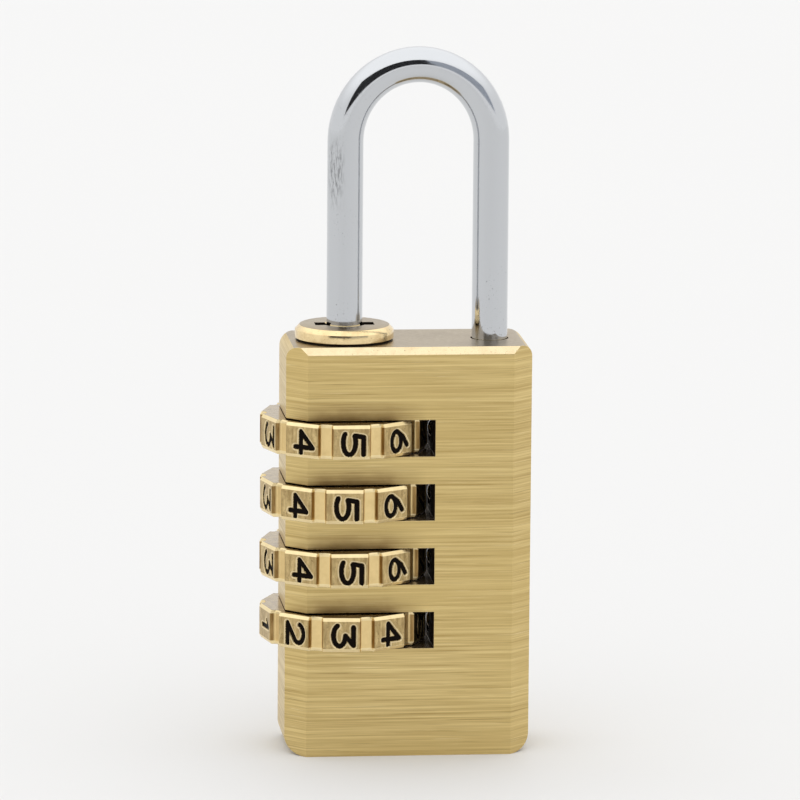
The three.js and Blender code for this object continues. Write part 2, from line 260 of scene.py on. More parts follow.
def brushed_brass():
    """Long fine strokes that run level round the upright faces."""
    n = Nodes("brushed_brass")
    fine = n.noise((0.11, 0.11, 9.0), 2.5, 0.6)
    long = n.noise((0.035, 0.035, 3.4), 2.0, 0.55)
    broad = n.noise((0.05, 0.05, 0.16), 2.0)
    strokes = n.math("ADD", n.math("MULTIPLY", fine, 0.6), n.math("MULTIPLY", long, 0.4))
    shade = n.remap(strokes, 0.32, 0.68, 0.0, 1.0)
    streaked = n.blend(shade, rgb(0.45, 0.316, 0.115), rgb(0.80, 0.63, 0.295))
    warmed = n.blend(n.remap(broad, 0.35, 0.65, 0.0, 0.45), streaked, rgb(0.64, 0.475, 0.185))
    dark_mark = n.remap(n.noise((0.12, 0.12, 14.0), 2.0, 0.7), 0.65, 0.71, 0.0, 0.7)
    light_mark = n.remap(n.noise((0.15, 0.15, 17.0), 2.0, 0.7), 0.66, 0.72, 0.0, 0.6)
    scratched = n.blend(dark_mark, warmed, rgb(0.28, 0.19, 0.07))
    scratched = n.blend(light_mark, scratched, rgb(0.90, 0.76, 0.46))
    # painted shade: the case darkened to a dark brass colour just over each slot
    colour = n.blend(shade_over_slots(n), scratched, rgb(0.22, 0.135, 0.05))
    roughness = n.remap(strokes, 0.3, 0.7, 0.42, 0.30)
    return n.finish(colour, roughness, n.bump(strokes, 0.5, 0.02))


def shaded_slot_brass(name, light, dark, smooth):
    """The insides of the slots and bores: brass painted darker than the case, as painted shade."""
    n = Nodes(name)
    film = n.noise((0.8, 0.8, 0.8), 3.0)
    colour = n.blend(film, dark, light)
    return n.finish(colour, n.remap(film, 0.3, 0.7, smooth, smooth + 0.12), metallic=0.8)


def satin_brass():
    """The top of the case: a fine grain without a clear direction."""
    n = Nodes("satin_brass")
    grain = n.noise((2.0, 7.0, 2.0), 4.0, 0.65)
    stain = n.noise((0.3, 0.3, 0.3), 3.0)
    mixed = n.blend(n.remap(grain, 0.3, 0.7, 0.0, 1.0), rgb(0.32, 0.25, 0.152), rgb(0.425, 0.345, 0.228))
    colour = n.blend(n.remap(stain, 0.45, 0.7, 0.0, 0.5), mixed, rgb(0.28, 0.21, 0.125))
    return n.finish(colour, n.remap(grain, 0.3, 0.7, 0.38, 0.28), n.bump(grain, 0.35, 0.01))


def polished_brass(name, light, dark, smooth):
    """Bright turned brass with a little tarnish."""
    n = Nodes(name)
    stain = n.noise((0.9, 0.9, 0.9), 4.0, 0.6)
    speck = n.noise((6.0, 6.0, 6.0), 2.0, 0.6)
    clean = n.blend(n.remap(stain, 0.42, 0.68, 0.0, 0.8), light, dark)
    colour = n.blend(n.remap(speck, 0.66, 0.72, 0.0, 0.6), clean, rgb(0.30, 0.17, 0.07))
    roughness = n.remap(stain, 0.35, 0.7, smooth, smooth + 0.14)
    return n.finish(colour, roughness, n.bump(speck, 0.15, 0.01))


def chrome():
    """Bright plating with a soft waviness, scattered pits and a worn patch on the heel leg."""
    n = Nodes("chrome")
    position = n.add("ShaderNodeSeparateXYZ", Vector=n.place((1, 1, 1)))
    wave = n.noise((0.5, 0.5, 0.12), 2.0)
    pits = n.noise((5.5, 5.5, 4.5), 3.0, 0.65)
    scrapes = n.noise((7.0, 7.0, 1.1), 4.0, 0.75)
    patch = n.noise((0.22, 0.22, 0.16), 2.0)
    pit_at = n.remap(patch, 0.50, 0.64, 0.0, 0.9)
    pitted = n.math("MULTIPLY", n.remap(pits, 0.64, 0.70, 0.0, 1.0), pit_at)
    shoulder = SHACKLE_HIGH.z - ROD_RADIUS - ARCH_RISE
    across = position.outputs["X"]
    upward = position.outputs["Z"]
    side = band(n, across, HEEL_X - 1.65, HEEL_X - 1.35, HEEL_X - 0.8, HEEL_X - 0.1)
    height = band(n, upward, shoulder - 6.2, shoulder - 3.5, shoulder - 1.0, shoulder + 0.8)
    worn_at = n.math("MULTIPLY", side, height)
    worn = n.math("MULTIPLY", n.remap(scrapes, 0.47, 0.58, 0.0, 1.0), worn_at)
    marks = n.math("MAXIMUM", pitted, n.math("MULTIPLY", worn, 0.9))
    colour = n.blend(marks, rgb(0.575, 0.59, 0.61), rgb(0.24, 0.245, 0.25))
    rough = n.math("ADD", n.remap(wave, 0.3, 0.7, 0.06, 0.11), n.math("MULTIPLY", marks, 0.25))
    relief = n.math("SUBTRACT", n.math("MULTIPLY", wave, 0.6), n.math("MULTIPLY", marks, 0.5))
    return n.finish(colour, rough, n.bump(relief, 0.25, 0.03))


def dial_brass():
    """Worn pads, bright flutes and bevels, smooth end faces, and black paint in the digits; the flutes'
    walls in painted shade and a painted highlight along the digits' strokes.
    """
    n = Nodes("dial_brass")
    ink = n.attribute("ink")
    lift = n.attribute("lift")
    bevel = n.attribute("bevel")
    end = n.attribute("end_face")
    grain = n.noise((3.0, 3.0, 0.7), 4.0, 0.65)
    stain = n.noise((1.3, 1.3, 1.3), 4.0, 0.65)
    dirt = n.noise((5.0, 5.0, 5.0), 3.0, 0.7)
    wear = n.noise((9.0, 9.0, 9.0), 2.0, 0.6)
    pad = n.blend(n.remap(grain, 0.34, 0.66, 0.0, 1.0), rgb(0.38, 0.27, 0.115), rgb(0.66, 0.50, 0.24))
    pad = n.blend(n.remap(stain, 0.45, 0.66, 0.0, 0.6), pad, rgb(0.37, 0.25, 0.11))
    pad = n.blend(n.remap(dirt, 0.58, 0.68, 0.0, 0.75), pad, rgb(0.19, 0.13, 0.06))
    # painted highlight: a bright band along the lip of each engraved stroke
    stroke_highlight = band(n, ink, -0.17, -0.10, -0.05, -0.02)
    pad = n.blend(n.math("MULTIPLY", stroke_highlight, 0.7), pad, rgb(0.88, 0.74, 0.46))
    bright = n.blend(n.remap(stain, 0.4, 0.7, 0.0, 0.5), rgb(0.83, 0.63, 0.30), rgb(0.70, 0.51, 0.23))
    # painted shade: the flutes' sloping walls darker than their floors
    wall = n.blend(n.remap(grain, 0.34, 0.66, 0.0, 1.0), rgb(0.24, 0.14, 0.045), rgb(0.40, 0.26, 0.10))
    flute = n.blend(n.remap(lift, 0.1, 0.4, 0.0, 1.0), bright, wall)
    side = n.blend(n.remap(lift, 0.86, 1.0, 0.0, 1.0), flute, pad)
    edge = n.blend(n.remap(stain, 0.4, 0.7, 0.0, 0.4), rgb(0.90, 0.74, 0.42), rgb(0.76, 0.58, 0.30))
    side = n.blend(n.remap(bevel, 0.3, 0.7, 0.0, 1.0), side, edge)
    light_end = rgb(0.44, 0.33, 0.17)
    turned_end = n.blend(n.remap(stain, 0.4, 0.7, 0.0, 1.0), light_end, rgb(0.28, 0.20, 0.11))
    brass = n.blend(n.remap(end, 0.5, 1.0, 0.0, 1.0), side, turned_end)
    uneven = n.math("ADD", ink, n.remap(wear, 0.3, 0.7, -0.03, 0.03))
    inked = n.remap(uneven, -0.015, 0.015, 0.0, 1.0)
    colour = n.blend(inked, brass, rgb(0.005, 0.003, 0.002))
    metal = n.math("SUBTRACT", 1.0, inked)
    rough_side = n.math("ADD", n.remap(grain, 0.3, 0.7, 0.42, 0.28), n.math("MULTIPLY", inked, 0.1))
    roughness = n.math("SUBTRACT", rough_side, n.math("MULTIPLY", end, 0.17))
    n.shader.inputs["Specular IOR Level"].default_value = 0.04
    return n.finish(colour, roughness, n.bump(grain, 0.2, 0.01), metal)


def plain_metal(name, light, dark, smooth):
    """As machined, with faint turning marks."""
    n = Nodes(name)
    marks = n.noise((2.5, 2.5, 2.5), 4.0, 0.6)
    colour = n.blend(n.remap(marks, 0.35, 0.65, 0.0, 1.0), light, dark)
    return n.finish(colour, n.remap(marks, 0.3, 0.7, smooth, smooth + 0.12), n.bump(marks, 0.15, 0.01))


def pale_floor():
    n = Nodes("pale_floor")
    mottle = n.noise((0.004, 0.004, 0.004), 2.0)
    colour = n.blend(mottle, rgb(0.70, 0.698, 0.694), rgb(0.714, 0.713, 0.71))
    return n.finish(colour, 0.7, metallic=0.0)


# --- Meshes ---


def show(name, mesh, materials, body, slot, *nodes):
    """A finished piece: painted, riding on its body, in place of its CAD nodes."""
    piece = bpy.data.objects.new(name, mesh)
    bpy.context.scene.collection.objects.link(piece)
    for material in materials:
        mesh.materials.append(material)
    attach(piece, body)
    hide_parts(*nodes)
    return piece


def smooth_by_angle(mesh, degrees=32):
    """Smooth faces, with the edges between steeper neighbours left sharp."""
    made = bmesh.new()
    made.from_mesh(mesh)
    for face in made.faces:
        face.smooth = True
    for edge in made.edges:
        edge.smooth = len(edge.link_faces) == 2 and edge.calc_face_angle(0) < math.radians(degrees)
    made.to_mesh(mesh)
    made.free()
    return mesh


def facing_out(mesh):
    """The closed mesh with every face turned outwards."""
    made = bmesh.new()
    made.from_mesh(mesh)
    bmesh.ops.recalc_face_normals(made, faces=made.faces)
    made.to_mesh(mesh)
    made.free()
    return mesh


def mesh_from(name, points, faces):
    """A mesh from points in millimetres."""
    mesh = bpy.data.meshes.new(name)
    mesh.from_pydata([tuple(Vector(point) * MM) for point in points], [], faces)
    mesh.validate()
    mesh.update()
    return mesh


def grid_faces(rows, columns, wrap_rows=False):
    """Quads of a grid whose columns run round and close on themselves."""
    faces = []
    for row in range(rows if wrap_rows else rows - 1):
        below = row * columns
        above = ((row + 1) % rows) * columns
        for column in range(columns):
            following = (column + 1) % columns
            faces.append((below + column, below + following, above + following, above + column))
    return faces


def prism(outline, low, high, axis):
    """A closed outline of 2D points swept between two heights along an axis."""
    place = {
        "x": lambda a, b, h: (h, a, b),
        "y": lambda a, b, h: (a, h, b),
        "z": lambda a, b, h: (a, b, h),
    }[axis]
    count = len(outline)
    points = [place(a, b, height) for height in (low, high) for a, b in outline]
    faces = [tuple(range(count)), tuple(range(2 * count - 1, count - 1, -1))] + grid_faces(2, count)
    mesh = mesh_from("prism", points, faces)
    return facing_out(mesh)


def circle(radius, sides, centre=(0, 0)):
    turns = [2 * math.pi * i / sides for i in range(sides)]
    return [(centre[0] + radius * math.cos(a), centre[1] + radius * math.sin(a)) for a in turns]


def rectangle(low, high):
    return [(low[0], low[1]), (high[0], low[1]), (high[0], high[1]), (low[0], high[1])]


def corner_arc(centre, radius, start, steps=14):
    """A quarter turn round a corner, from start degrees."""
    angles = [math.radians(start + 90 * i / steps) for i in range(steps + 1)]
    return [(centre[0] + radius * math.cos(a), centre[1] + radius * math.sin(a)) for a in angles]


def combined(mesh, others, operation):
    """The mesh after a boolean with each of the others."""
    piece = bpy.data.objects.new("boolean", mesh)
    bpy.context.scene.collection.objects.link(piece)
    tools = []
    for other in others:
        tool = bpy.data.objects.new("tool", other)
        bpy.context.scene.collection.objects.link(tool)
        modifier = piece.modifiers.new("cut", "BOOLEAN")
        modifier.operation = operation
        modifier.solver = "EXACT"
        modifier.object = tool
        tools.append(tool)
    result = bpy.data.meshes.new_from_object(piece.evaluated_get(bpy.context.evaluated_depsgraph_get()))
    for used in [piece, *tools]:
        bpy.data.objects.remove(used)
    return result


def softened(mesh, width, degrees=25, segments=2):
    """The mesh with its sharp edges rounded, and its flats still shaded flat."""
    piece = bpy.data.objects.new("bevel", mesh)
    bpy.context.scene.collection.objects.link(piece)
    modifier = piece.modifiers.new("bevel", "BEVEL")
    modifier.width = width * MM
    modifier.segments = segments
    modifier.limit_method = "ANGLE"
    modifier.angle_limit = math.radians(degrees)
    modifier.use_clamp_overlap = True
    modifier.harden_normals = True
    result = bpy.data.meshes.new_from_object(piece.evaluated_get(bpy.context.evaluated_depsgraph_get()))
    bpy.data.objects.remove(piece)
    return result


def turned(profile, centre, sides):
    """A closed outline of (radius, height) turned about an upright axis."""
    points = []
    for radius, height in profile:
        for x, y in circle(radius, sides, centre):
            points.append((x, y, height))
    mesh = mesh_from("turned", points, grid_faces(len(profile), sides, wrap_rows=True))
    return facing_out(mesh)


# --- Case ---


def case_block():
    half_x = CASE_HIGH.x
    half_y = CASE_HIGH.y
    top = CASE_HIGH.z
    front = (
        corner_arc((half_x - FOOT_RADIUS, FOOT_RADIUS), FOOT_RADIUS, -90)
        + corner_arc((half_x - SHOULDER_RADIUS, top - SHOULDER_RADIUS), SHOULDER_RADIUS, 0)
        + corner_arc((SHOULDER_RADIUS - half_x, top - SHOULDER_RADIUS), SHOULDER_RADIUS, 90)
        + corner_arc((FOOT_RADIUS - half_x, FOOT_RADIUS), FOOT_RADIUS, 180)
    )
    plan = []
    for x, y in ((-1, -1), (1, -1), (1, 1), (-1, 1)):
        cut_x = (x * (half_x - EDGE_CHAMFER), y * half_y)
        cut_y = (x * half_x, y * (half_y - EDGE_CHAMFER))
        plan += [cut_y, cut_x] if x * y > 0 else [cut_x, cut_y]
    side = [
        (-half_y, -PAST),
        (half_y, -PAST),
        (half_y, top - TOP_CHAMFER),
        (half_y - TOP_CHAMFER, top),
        (TOP_CHAMFER - half_y, top),
        (-half_y, top - TOP_CHAMFER),
    ]
    block = prism(front, -half_y, half_y, "y")
    sides = prism(plan, -PAST, top + PAST, "z")
    ends = prism(side, -half_x - PAST, half_x + PAST, "x")
    return combined(block, [sides, ends], "INTERSECT")


def case_cutters():
    cutters = [
        prism(circle(BORE_RADIUS, 96, (HEEL_X, 0)), -PAST, CASE_HIGH.z + PAST, "z"),
        prism(
            circle(ROD_RADIUS + TOE_SIDE_GAP, 64, (TOE_X, 0)),
            toe_end() - TOE_FLOOR_GAP,
            CASE_HIGH.z + PAST,
            "z",
        ),
    ]
    slot_half = DIAL_HALF + SLOT_GAP
    ball_radius = (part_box("detent_ball_1")[1].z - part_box("detent_ball_1")[0].z) / 2 / MM
    for z in DIAL_Z:
        opening = rectangle((-CASE_HIGH.x - PAST, z - slot_half), (SLOT_END_X, z + slot_half))
        cutters.append(prism(opening, -CASE_HIGH.y - PAST, CASE_HIGH.y + PAST, "y"))
        hole = circle(ball_radius + BALL_HOLE_GAP, 32, (0, z))
        cutters.append(prism(hole, SLOT_END_X - PAST, SLOT_END_X + DETENT_DEPTH, "x"))
    return cutters


def toe_end():
    """Height of the toe leg's foot: the lowest shackle point near the toe's axis."""
    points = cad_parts["shackle"].data.vertices
    return min(v.co.z for v in points if v.co.x > (TOE_X - ROD_RADIUS * 1.1) * MM) / MM


def paint_case(mesh):
    """Faces take 0 brushed sides, 1 satin top and foot, 2 polished top chamfers,
    3 floors and ceilings of the slots and bores, 4 their walls, both in painted shade, 5 worn edges of
    the slots."""
    top = CASE_HIGH.z
    slot_half = DIAL_HALF + SLOT_GAP
    near = 1.3 * CASE_EDGE
    corner_reach = CASE_HIGH.x + CASE_HIGH.y - EDGE_CHAMFER - CASE_SKIN / 2
    for face in mesh.polygons:
        normal = face.normal
        centre = face.center / MM
        level = abs(normal.z) > 0.9
        off_slot = min(abs(centre.z - z) - slot_half for z in DIAL_Z)
        in_slot = off_slot < 0.01
        depths = (
            CASE_HIGH.x - abs(centre.x),
            CASE_HIGH.y - abs(centre.y),
            top - centre.z,
            centre.z,
        )
        on_outside = min(depths) < CASE_SKIN
        on_corner = abs(centre.x) + abs(centre.y) > corner_reach
        level_edge = abs(off_slot) < near and 0.15 < abs(normal.z) < 0.98
        lip = level_edge and centre.x < SLOT_END_X + near
        upright_edge = abs(centre.x - SLOT_END_X) < near and 0.15 < abs(normal.x) < 0.98
        end_lip = off_slot < near and upright_edge
        if normal.z > 0.5 and abs(normal.y) > 0.25 and centre.z > top - TOP_CHAMFER * 1.2:
            face.material_index = 2
        elif (lip or end_lip) and (on_outside or on_corner):
            face.material_index = 5
        elif in_slot and level:
            face.material_index = 3
        elif not (on_outside or on_corner):
            face.material_index = 4
        elif level:
            face.material_index = 1
    return mesh


def make_case(paints):
    mesh = combined(case_block(), case_cutters(), "DIFFERENCE")
    mesh = paint_case(softened(smooth_by_angle(mesh), CASE_EDGE))
    show("case_shell", mesh, paints, "case", "brushed_brass", "lock_body")


def make_collar(materials):
    """The bush: 0 its polished side, 1 the undercut and neck, in near-black painted shade, 2 its satin
    top.
    """
    low, high = COLLAR_LOW.z, COLLAR_HIGH.z
    top = CASE_HIGH.z
    radius = COLLAR_HIGH.x - HEEL_X
    neck = BORE_RADIUS - SEAT_GAP
    bevel = COLLAR_BEVEL
    lip = top + UNDERCUT_HEIGHT
    web = top - COLLAR_WEB
    profile = [
        (CHAMBER_RADIUS, low),
        (neck, low),
        (neck, top),
        (radius - COLLAR_UNDERCUT, top),
        (radius - COLLAR_UNDERCUT, lip),
        (radius - 0.06, lip),
        (radius, lip + 0.06),
        (radius, high - bevel - 0.05),
        (radius - 0.03, high - bevel + 0.02),
        (radius - bevel + 0.02, high - 0.03),
        (radius - bevel - 0.05, high),
        (LEG_BORE + 0.12, high),
        (LEG_BORE, high - 0.12),
        (LEG_BORE, web),
        (CHAMBER_RADIUS, web),
    ]
    ring = turned(profile, (HEEL_X, 0), 128)
    key_low = (HEEL_X - KEY_RADIUS, -KEY_WIDTH / 2)
    key_high = (HEEL_X + KEY_RADIUS, KEY_WIDTH / 2)
    keyway = prism(rectangle(key_low, key_high), low - PAST / 2, high + PAST, "z")
    mesh = smooth_by_angle(combined(ring, [keyway], "DIFFERENCE"))
    for face in mesh.polygons:
        height = face.center.z / MM
        if height < lip + 0.01:
            face.material_index = 1
        elif face.normal.z > 0.9:
            face.material_index = 2
    show("collar_bush", mesh, materials, "case", "polished_brass", "collar")


def make_plug(material):
    low, high = PLUG_LOW.z, PLUG_HIGH.z
    radius = BORE_RADIUS - SEAT_GAP
    inner = radius - PLUG_WALL
    profile = [
        (0.02, low + 0.25),
        (0.35, low),
        (radius - 0.15, low),
        (radius, low + 0.15),
        (radius, high),
        (inner, high),
        (inner, low + PLUG_FLOOR),
        (0.02, low + PLUG_FLOOR),
    ]
    mesh = smooth_by_angle(turned(profile, (HEEL_X, 0), 96))
    show("plug_cup", mesh, [material], "case", "plain_brass", "bottom_plug")


# --- Shackle ---


def hoop_rings():
    """(centre, direction, radius) of each ring from the heel leg's foot to the toe's."""
    crown = SHACKLE_HIGH.z - ROD_RADIUS
    arch_z = crown - ARCH_RISE
    middle = (HEEL_X + TOE_X) / 2
    half = (TOE_X - HEEL_X) / 2
    groove = ROD_RADIUS - CLIP_GROOVE
    foot = SHACKLE_LOW.z
    up = Vector((0, 0, 1))
    rings = []
    clip_low = CLIP_LOW.z - CLIP_GAP
    clip_high = CLIP_HIGH.z + CLIP_GAP
    for z, radius in (
        (foot, ROD_RADIUS - 0.1),
        (foot + 0.1, ROD_RADIUS),
        (clip_low, ROD_RADIUS),
        (clip_low + 0.01, groove),
        (clip_high - 0.01, groove),
        (clip_high, ROD_RADIUS),
    ):
        rings.append((Vector((HEEL_X, 0, z)), up, radius))
    steps = 72
    leg_steps = 12
    for i in range(1, leg_steps):
        z = clip_high + (arch_z - clip_high) * i / leg_steps
        rings.append((Vector((HEEL_X, 0, z)), up, ROD_RADIUS))
    for i in range(steps + 1):
        angle = math.pi * (1 - i / steps)
        centre = Vector((middle + half * math.cos(angle), 0, arch_z + ARCH_RISE * math.sin(angle)))
        along = Vector((half * math.sin(angle), 0, -ARCH_RISE * math.cos(angle)))
        rings.append((centre, along.normalized(), ROD_RADIUS))
    end = toe_end()
    for i in range(1, leg_steps):
        z = arch_z + (end + TOE_CHAMFER - arch_z) * i / leg_steps
        rings.append((Vector((TOE_X, 0, z)), -up, ROD_RADIUS))
    for i in range(7):
        turn = math.pi / 2 * i / 6
        z = end + TOE_CHAMFER * (1 - math.sin(turn))
        rings.append((Vector((TOE_X, 0, z)), -up, ROD_RADIUS - TOE_CHAMFER * (1 - math.cos(turn))))
    return rings


def make_shackle(material):
    sides = 64
    points = []
    rings = hoop_rings()
    across = Vector((0, 1, 0))
    for centre, along, radius in rings:
        outward = across.cross(along)
        for i in range(sides):
            turn = 2 * math.pi * i / sides
            points.append(centre + radius * (math.cos(turn) * outward + math.sin(turn) * across))
    faces = grid_faces(len(rings), sides)
    faces.append(tuple(range(sides)))
    faces.append(tuple(range(len(points) - 1, len(points) - 1 - sides, -1)))
    mesh = mesh_from("hoop", points, faces)
    mesh = facing_out(mesh)
    lug_low = (HEEL_X + 0.5, -LUG_WIDTH / 2)
    lug_high = (HEEL_X + ROD_RADIUS + LUG_REACH, LUG_WIDTH / 2)
    outline = rectangle(lug_low, lug_high)
    lugs = [prism(outline, z + LUG_LIFT, z + LUG_LIFT + LUG_HEIGHT, "z") for z in DIAL_Z]
    mesh = smooth_by_angle(combined(mesh, lugs, "UNION"))
    show("shackle_hoop", mesh, [material], "shackle_assembly", "chrome", "shackle")


# --- Dials ---


def arc(centre, radii, start, end, steps=14):
    """Points of an elliptical arc between two angles in degrees."""
    angles = [math.radians(start + (end - start) * i / steps) for i in range(steps + 1)]
    return [(centre[0] + radii[0] * math.cos(a), centre[1] + radii[1] * math.sin(a)) for a in angles]


def digit_strokes(digit):
    """The strokes of a digit in a unit square, x to its right and y to its top."""
    return {
        0: [arc((0.5, 0.5), (0.42, 0.5), 0, 360, 32)],
        1: [[(0.22, 0.72), (0.52, 1.0), (0.52, 0.0)]],
        2: [arc((0.48, 0.68), (0.44, 0.32), 165, -35) + [(0.02, 0.0), (1.0, 0.0)]],
        3: [[(0.05, 1.0), (0.92, 1.0), (0.45, 0.6)] + arc((0.45, 0.3), (0.5, 0.3), 90, -160)],
        4: [[(0.74, 0.0), (0.74, 1.0), (0.0, 0.32), (1.0, 0.32)]],
        5: [[(1.0, 1.0), (0.17, 1.0), (0.1, 0.56)] + arc((0.42, 0.29), (0.58, 0.31), 122, -134, 20)],
        6: [arc((0.5, 0.3), (0.46, 0.3), 180, 540, 26), [(0.07, 0.4), (0.32, 0.75), (0.72, 1.0)]],
        7: [[(0.0, 1.0), (1.0, 1.0), (0.36, 0.0)]],
        8: [arc((0.5, 0.76), (0.36, 0.24), 0, 360, 24), arc((0.5, 0.27), (0.46, 0.27), 0, 360, 26)],
        9: [arc((0.5, 0.7), (0.46, 0.3), 0, 360, 26), [(0.93, 0.6), (0.68, 0.25), (0.28, 0.0)]],
    }[digit]


def stroke_distance(digit, along, across):
    """Distance in mm from a pad's points to a digit's strokes. Its top points along the turn."""
    nearest = np.full(along.shape, 1e3)
    for stroke in digit_strokes(digit):
        ends = [
            ((y - 0.5) * DIGIT_HEIGHT + DIGIT_SHIFT, (0.5 - x) * DIGIT_WIDTH - DIGIT_DROP)
            for x, y in stroke
        ]
        for (ax, ay), (bx, by) in zip(ends, ends[1:]):
            length = (bx - ax) ** 2 + (by - ay) ** 2
            share = np.clip(((along - ax) * (bx - ax) + (across - ay) * (by - ay)) / length, 0, 1)
            gap = np.hypot(along - ax - share * (bx - ax), across - ay - share * (by - ay))
            nearest = np.minimum(nearest, gap)
    return nearest


def soft_corner(before, corner, after, steps=6):
    """Points of a soft turn from before to after, drawn towards the corner."""
    points = []
    for i in range(steps + 1):
        t = i / steps
        point = before * (1 - t) ** 2 + corner * 2 * t * (1 - t) + after * t**2
        points.append((point, t))
    return points


def sector_columns():
    """One tenth of the outline, from flute middle to flute middle: (tangent, distance, lift).

    Lift is 0 on the flute's floor and 1 on the pad."""
    pitch = math.pi / DIGIT_COUNT
    outward = Vector((math.sin(pitch), math.cos(pitch)))
    inward = Vector((-math.cos(pitch), math.sin(pitch)))
    floor = DIAL_RADIUS - FLUTE_DEPTH

    def in_flute(share):
        sag = FLUTE_SAG * (1 - share**2)
        return outward * (floor - sag) + inward * FLUTE_WIDTH / 2 * share

    foot = in_flute(1.0)
    corner = Vector((PAD_WIDTH / 2, PAD_DISTANCE))
    wall = (corner - foot).normalized()
    edge = corner - Vector((PAD_EDGE, 0))
    right = [(*in_flute(share), 0.0) for share in (0.0, 0.2, 0.4, 0.6)]
    right += [(*point, 0.3 * t) for point, t in soft_corner(in_flute(0.76), foot, foot + wall * 0.12)]
    brow = soft_corner(corner - wall * PAD_EDGE, corner, edge)
    right += [(*point, 0.85 + 0.15 * t) for point, t in brow]
    count = 52
    flat = [(edge.x * (1 - 2 * i / count), PAD_DISTANCE, 1.0) for i in range(1, count)]
    left = [(-x, y, lift) for x, y, lift in reversed(right)]
    return list(reversed(right + flat + left[:-1]))


def dial_rows():
    """Heights up the outer wall, closer together at its bevels."""
    edge = [0.0, 0.05, 0.1, 0.15, 0.2, 0.25, PAD_BEVEL[0], PAD_BEVEL[0] + 0.04]
    inner = DIAL_HALF - edge[-1] - 0.04
    count = 44
    middle = [-inner + 2 * inner * i / count for i in range(count + 1)]
    return [step - DIAL_HALF for step in edge] + middle + [DIAL_HALF - step for step in reversed(edge)]


def edge_inset(height, lift):
    """How far the wall draws in near its edges, at the bevels of pads and flutes."""
    from_edge = DIAL_HALF - abs(height)
    pad = PAD_BEVEL[1] * max(0.0, 1 - from_edge / PAD_BEVEL[0])
    flute = FLUTE_BEVEL[1] * max(0.0, 1 - from_edge / FLUTE_BEVEL[0])
    share = np.clip((lift - 0.3) / 0.7, 0, 1)
    return share * pad + (1 - share) * flute


def bore_radius(angle, notched):
    """The bore's radius at an angle from +X, with its ten notches in the upper part."""
    if not notched:
        return NOTCH_RADIUS
    step = 2 * math.pi / DIGIT_COUNT
    off = abs((angle + step / 2) % step - step / 2)
    return NOTCH_RADIUS if off < math.asin(NOTCH_WIDTH / 2 / DIAL_BORE) else DIAL_BORE


def dial_mesh(index):
    columns = np.array(sector_columns())
    rows = dial_rows()
    per_sector = len(columns)
    total = per_sector * DIGIT_COUNT
    tangent, reach, lift = columns.T
    outer = []
    ink = []
    lifts = []
    bevels = []
    turn = math.radians(DIAL_TURNS[index])
    for height in rows:
        in_bevel = 1.0 if DIAL_HALF - abs(height) < PAD_BEVEL[0] + 0.02 else 0.0
        for pad in range(DIGIT_COUNT):
            digit = (FRONT_DIGITS[index] + pad) % DIGIT_COUNT
            middle = 2 * math.pi * pad / DIGIT_COUNT + turn
            gap = stroke_distance(digit, tangent, np.full(per_sector, height))
            signed = np.where(lift > 0.99, STROKE / 2 - gap, NO_INK)
            sunk = ENGRAVED * np.clip(signed / PAINT_WIDTH + 0.5, 0, 1)
            distance = reach - edge_inset(height, lift) - sunk
            x = HEEL_X + distance * math.sin(middle) + tangent * math.cos(middle)
            y = -distance * math.cos(middle) + tangent * math.sin(middle)
            outer.extend(zip(x, y, np.full(per_sector, DIAL_Z[index] + height)))
            ink.extend(np.clip(signed, NO_INK, 0.3))
            lifts.extend(lift)
            bevels.extend([in_bevel] * per_sector)
    points = list(outer)
    first = outer[:total]
    last = outer[-total:]
    notch_z = DIAL_Z[index] + NOTCH_BOTTOM
    lining = (
        (last, DIAL_Z[index] + DIAL_HALF, True),
        (last, notch_z, True),
        (first, notch_z, False),
        (first, DIAL_Z[index] - DIAL_HALF, False),
    )
    for ring, height, notched in lining:
        for x, y, _ in ring:
            angle = math.atan2(y, x - HEEL_X)
            radius = bore_radius(angle - turn, notched)
            points.append((HEEL_X + radius * math.cos(angle), radius * math.sin(angle), height))
    added = len(points) - len(outer)
    ends = np.zeros(len(points))
    ends[len(outer):] = 1
    ends[:total] = 1
    ends[len(outer) - total:len(outer)] = 1
    mesh = mesh_from("dial", points, grid_faces(len(rows) + len(lining), total, wrap_rows=True))
    marks = {
        "ink": ink + [NO_INK] * added,
        "lift": lifts + [1.0] * added,
        "bevel": bevels + [0.0] * added,
        "end_face": ends,
    }
    for name, values in marks.items():
        attribute = mesh.attributes.new(name, "FLOAT", "POINT")
        attribute.data.foreach_set("value", np.array(values, dtype=np.float32))
    return mesh


def make_dial(index, material):
    mesh = smooth_by_angle(dial_mesh(index), 24)
    name = DIAL_NODES[index]
    show(name + "_wheel", mesh, [material], name + "_body", "dial_brass", name)


def make_ball(index, material):
    node = "detent_ball_" + str(index + 1)
    low, high = mm_box(node)
    centre = (low + high) / 2
    made = bmesh.new()
    bmesh.ops.create_icosphere(made, subdivisions=5, radius=(high.z - low.z) / 2 * MM)
    bmesh.ops.translate(made, verts=made.verts, vec=centre * MM)
    mesh = bpy.data.meshes.new(node)
    made.to_mesh(mesh)
    made.free()
    body = "ball_" + str(index + 1) + "_body"
    show(node + "_round", smooth_by_angle(mesh), [material], body, "steel", node)


# --- Springs ---


def coil_mesh(place, radius, wire, low, high, turns):
    """A round wire wound between two heights, put in the row frame by place."""
    steps = round(turns * 36)
    sides = 12
    pitch = (high - low) / (2 * math.pi * turns)
    points = []
    for i in range(steps + 1):
        angle = 2 * math.pi * turns * i / steps
        outward = Vector((math.cos(angle), math.sin(angle), 0))
        along = Vector((-radius * math.sin(angle), radius * math.cos(angle), pitch)).normalized()
        aside = along.cross(outward)
        centre = outward * radius + Vector((0, 0, low + pitch * angle))
        for x, y in circle(wire / 2, sides):
            points.append(place(centre + outward * x + aside * y))
    faces = grid_faces(steps + 1, sides)
    faces.append(tuple(range(sides - 1, -1, -1)))
    faces.append(tuple(range(steps * sides, (steps + 1) * sides)))
    return smooth_by_angle(mesh_from("coil", points, faces))


